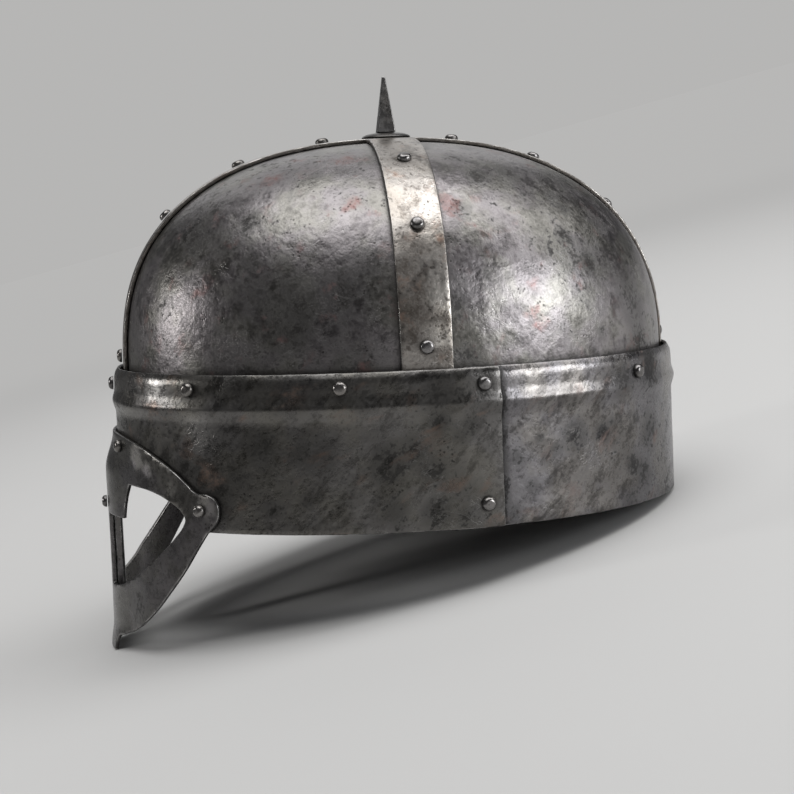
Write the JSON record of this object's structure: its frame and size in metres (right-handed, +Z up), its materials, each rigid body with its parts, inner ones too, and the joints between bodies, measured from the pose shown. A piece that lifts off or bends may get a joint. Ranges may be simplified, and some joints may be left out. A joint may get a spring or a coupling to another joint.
{
  "type": "norse iron spectacle helmet",
  "caption": "Riveted iron helmet: domed plates under crossed bands, a tall brow band with a raised bead, a spectacle guard with eye openings, and a small four-sided spike.",
  "frame": {"origin": "on the surface that the helmet rests on, at the centre of its bounding box", "axes": "+Z up, -Y to the front of the helmet, +X to the wearer's left; the helmet leans back 13.2 degrees, on the guard's tip and the rear of its rim"},
  "size_m": [0.208, 0.2756, 0.2078],
  "materials": {
    "dome_iron": "worn dark iron sheet, mottled with grime and faint rust, satin",
    "band_iron": "lighter worn iron strip, brighter along its edges, satin",
    "brow_iron": "dark worn iron sheet, brownish at the front and bluish at the back, satin",
    "guard_iron": "smooth dark iron sheet, bright along its cut edges, satin",
    "rivet_iron": "dark iron rivet heads, rubbed bright round their rims",
    "finial_iron": "dark filed iron, satin"
  },
  "bodies": {
    "root": {"dome_plate_front_left": "dome_iron", "dome_plate_front_right": "dome_iron", "dome_plate_back_left": "dome_iron", "dome_plate_back_right": "dome_iron", "ridge_band": "band_iron", "side_band_left": "band_iron", "side_band_right": "band_iron", "brow_band_front": "brow_iron", "brow_band_back": "brow_iron", "spectacle_guard": "guard_iron", "nasal_bar": "guard_iron", "finial_disc": "finial_iron", "finial_spike": "finial_iron", "ridge_rivet_front_1": "rivet_iron", "ridge_rivet_front_2": "rivet_iron", "ridge_rivet_front_3": "rivet_iron", "ridge_rivet_front_4": "rivet_iron", "ridge_rivet_back_1": "rivet_iron", "ridge_rivet_back_2": "rivet_iron", "ridge_rivet_back_3": "rivet_iron", "ridge_rivet_back_4": "rivet_iron", "side_rivet_left_1": "rivet_iron", "side_rivet_left_2": "rivet_iron", "side_rivet_left_3": "rivet_iron", "side_rivet_right_1": "rivet_iron", "side_rivet_right_2": "rivet_iron", "side_rivet_right_3": "rivet_iron", "brow_rivet_front": "rivet_iron", "brow_rivet_a_left": "rivet_iron", "brow_rivet_a_right": "rivet_iron", "brow_rivet_b_left": "rivet_iron", "brow_rivet_b_right": "rivet_iron", "brow_rivet_lap_left": "rivet_iron", "brow_rivet_lap_right": "rivet_iron", "brow_rivet_c_left": "rivet_iron", "brow_rivet_c_right": "rivet_iron", "seam_rivet_left": "rivet_iron", "seam_rivet_right": "rivet_iron", "guard_rivet_nose": "rivet_iron", "guard_rivet_brow_left": "rivet_iron", "guard_rivet_brow_right": "rivet_iron", "guard_rivet_lug_left": "rivet_iron", "guard_rivet_lug_right": "rivet_iron"}
  },
  "joints": []
}
